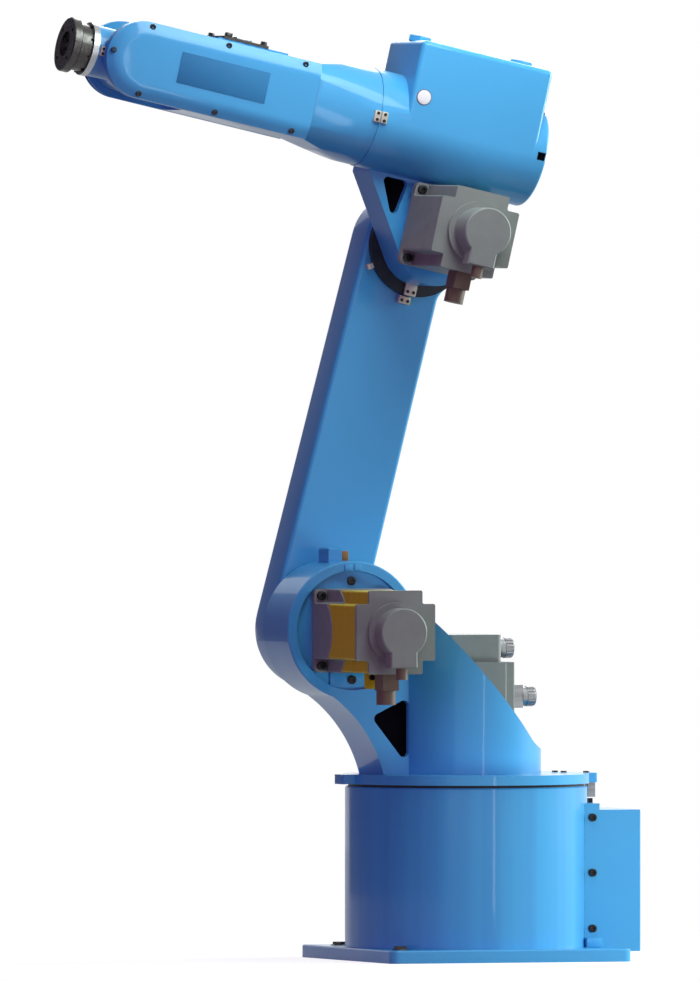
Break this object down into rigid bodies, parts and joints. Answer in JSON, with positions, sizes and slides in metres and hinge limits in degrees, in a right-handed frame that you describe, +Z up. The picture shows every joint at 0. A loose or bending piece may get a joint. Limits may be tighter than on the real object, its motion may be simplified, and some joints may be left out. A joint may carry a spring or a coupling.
{
  "type": "industrial robot arm",
  "caption": "Articulated floor-mounted robot arm with a drum base, turning column, slim lower arm, boxy elbow, forked forearm and round tool flange.",
  "frame": {"origin": "on the floor under the base plate, on the vertical axis of the first joint", "axes": "+X forward along the forearm at rest, +Y to the arm's left, +Z up"},
  "size_m": [0.9392, 0.483, 1.4697],
  "materials": {
    "blue_paint": "gloss",
    "motor_paint": "satin",
    "yellow_paint": "satin",
    "dark_steel": "satin",
    "bright_steel": "polished",
    "plug_metal": "satin",
    "plug_plastic": "matte",
    "black_seal": "matte"
  },
  "bodies": {
    "base": {"base_plate": "blue_paint", "base_drum": "blue_paint", "bearing_seal": "black_seal", "box_frame": "blue_paint", "connector_box": "blue_paint", "connector_panel": "blue_paint", "cable_sockets": "plug_metal", "base_mark": "plug_metal"},
    "turret": {"turntable": "blue_paint", "turntable_mark": "plug_metal", "column": "blue_paint", "pocket_cover": "dark_steel", "shoulder_plate": "blue_paint", "shoulder_reducer": "dark_steel", "j1_motor_body": "motor_paint", "j1_motor_encoder": "motor_paint", "j1_motor_plugs": "plug_metal", "j2_motor_bell": "motor_paint", "j2_motor_stator": "yellow_paint", "j2_motor_housing": "motor_paint", "j2_motor_cap": "motor_paint", "j2_motor_plugs": "plug_plastic"},
    "lower_arm": {"lower_arm": "blue_paint", "shoulder_cover": "blue_paint", "elbow_cover": "blue_paint", "elbow_reducer": "dark_steel"},
    "elbow": {"elbow_housing": "blue_paint", "elbow_pocket_cover": "dark_steel", "elbow_end_cover": "blue_paint", "elbow_lids": "blue_paint", "j3_motor_plate": "blue_paint", "j3_motor_body": "motor_paint", "j3_motor_cap": "motor_paint", "j3_motor_plugs": "plug_plastic"},
    "forearm": {"forearm_body": "blue_paint", "left_side_cover": "blue_paint", "right_side_cover": "blue_paint", "bracket_pad": "blue_paint", "top_bracket": "dark_steel"},
    "wrist": {"wrist_body": "blue_paint", "wrist_ring": "bright_steel"},
    "flange": {"flange_neck": "dark_steel", "tool_flange": "dark_steel"}
  },
  "joints": [
    {"name": "waist_turn", "type": "hinge", "parent": "base", "child": "turret", "pos_m": [0, 0, 0], "axis": [0, 0, 1], "range_deg": [-170, 170]},
    {"name": "shoulder_tilt", "type": "hinge", "parent": "turret", "child": "lower_arm", "pos_m": [0.202, 0, 0.515], "axis": [0, 1, 0], "range_deg": [-60, 90]},
    {"name": "elbow_tilt", "type": "hinge", "parent": "lower_arm", "child": "elbow", "pos_m": [0.05141, 0, 1.11231], "axis": [0, -1, 0], "range_deg": [-70, 150]},
    {"name": "forearm_roll", "type": "hinge", "parent": "elbow", "child": "forearm", "pos_m": [0.01317, 0, 1.27795], "axis": [0.9744, 0, 0.225], "range_deg": [-180, 180]},
    {"name": "wrist_bend", "type": "hinge", "parent": "forearm", "child": "wrist", "pos_m": [0.55589, 0, 1.40325], "axis": [0, 1, 0], "range_deg": [-120, 120]},
    {"name": "flange_roll", "type": "hinge", "parent": "wrist", "child": "flange", "pos_m": [0.55589, 0, 1.40325], "axis": [0.9744, 0, 0.225], "range_deg": [-360, 360]}
  ]
}
